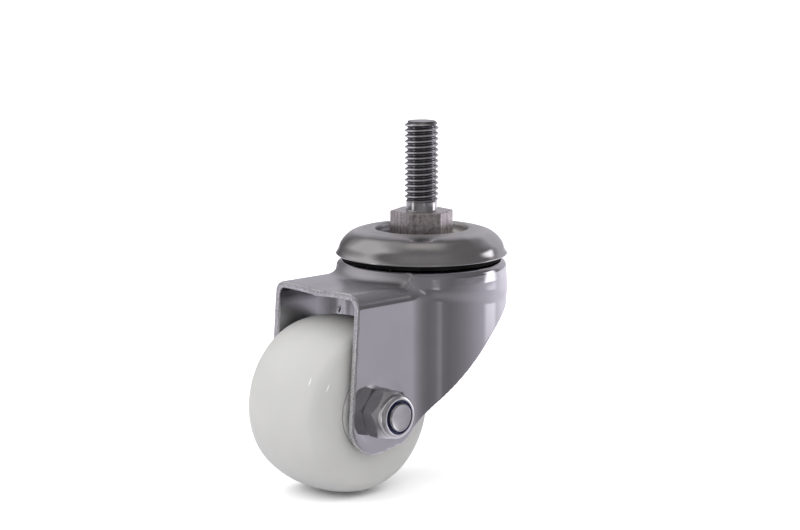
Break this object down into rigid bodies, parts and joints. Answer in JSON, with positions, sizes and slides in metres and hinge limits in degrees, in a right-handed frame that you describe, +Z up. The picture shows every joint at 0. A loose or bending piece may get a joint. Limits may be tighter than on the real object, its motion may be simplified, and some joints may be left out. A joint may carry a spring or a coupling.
{
  "type": "swivel castor",
  "caption": "Threaded-stem swivel castor: a pressed steel fork turns on a ball-raced head and carries a solid nylon wheel on a bolted axle.",
  "frame": {"origin": "middle of the seat, the top face of the hexagon, on the swivel axis", "axes": "+Z up the stem along the swivel axis, -X towards the trailing wheel, Y along the axle with the lock nut on the -Y side"},
  "size_m": [0.0831, 0.0509, 0.103],
  "materials": {
    "threaded_stem": "dull turned steel",
    "swivel_cap": "brushed and polished pressed sheet",
    "dust_ring": "black",
    "upper_balls": "ground and polished",
    "lower_balls": "ground and polished",
    "lower_race": "pressed sheet",
    "fork": "polished pressed stainless sheet",
    "axle_bolt": "bright plated",
    "axle_nut": "bright plated",
    "nut_insert": "dark blue nylon",
    "centre_sleeve": "turned",
    "right_spacer": "turned",
    "left_spacer": "turned",
    "right_inner_ring": "ground",
    "left_inner_ring": "ground",
    "right_outer_ring": "ground",
    "left_outer_ring": "ground",
    "right_bearing_balls": "polished",
    "left_bearing_balls": "polished",
    "right_ball_cage": "machined",
    "left_ball_cage": "machined",
    "right_shields": "pressed",
    "left_shields": "pressed",
    "wheel": "natural nylon, satin"
  },
  "bodies": {
    "head": {"threaded_stem": "threaded_stem", "swivel_cap": "swivel_cap", "dust_ring": "dust_ring", "upper_balls": "upper_balls", "lower_balls": "lower_balls", "lower_race": "lower_race"},
    "fork": {"fork": "fork", "axle_bolt": "axle_bolt", "axle_nut": "axle_nut", "nut_insert": "nut_insert", "centre_sleeve": "centre_sleeve", "right_spacer": "right_spacer", "left_spacer": "left_spacer", "right_inner_ring": "right_inner_ring", "left_inner_ring": "left_inner_ring"},
    "wheel": {"wheel": "wheel", "right_outer_ring": "right_outer_ring", "left_outer_ring": "left_outer_ring", "right_bearing_balls": "right_bearing_balls", "left_bearing_balls": "left_bearing_balls", "right_ball_cage": "right_ball_cage", "left_ball_cage": "left_ball_cage", "right_shields": "right_shields", "left_shields": "left_shields"}
  },
  "joints": [
    {"name": "swivel", "type": "hinge", "parent": "head", "child": "fork", "pos_m": [0, 0, 0], "axis": [0, 0, 1], "continuous": true},
    {"name": "wheel_spin", "type": "hinge", "parent": "fork", "child": "wheel", "pos_m": [-0.033, 0, -0.052], "axis": [0, 1, 0], "continuous": true}
  ]
}
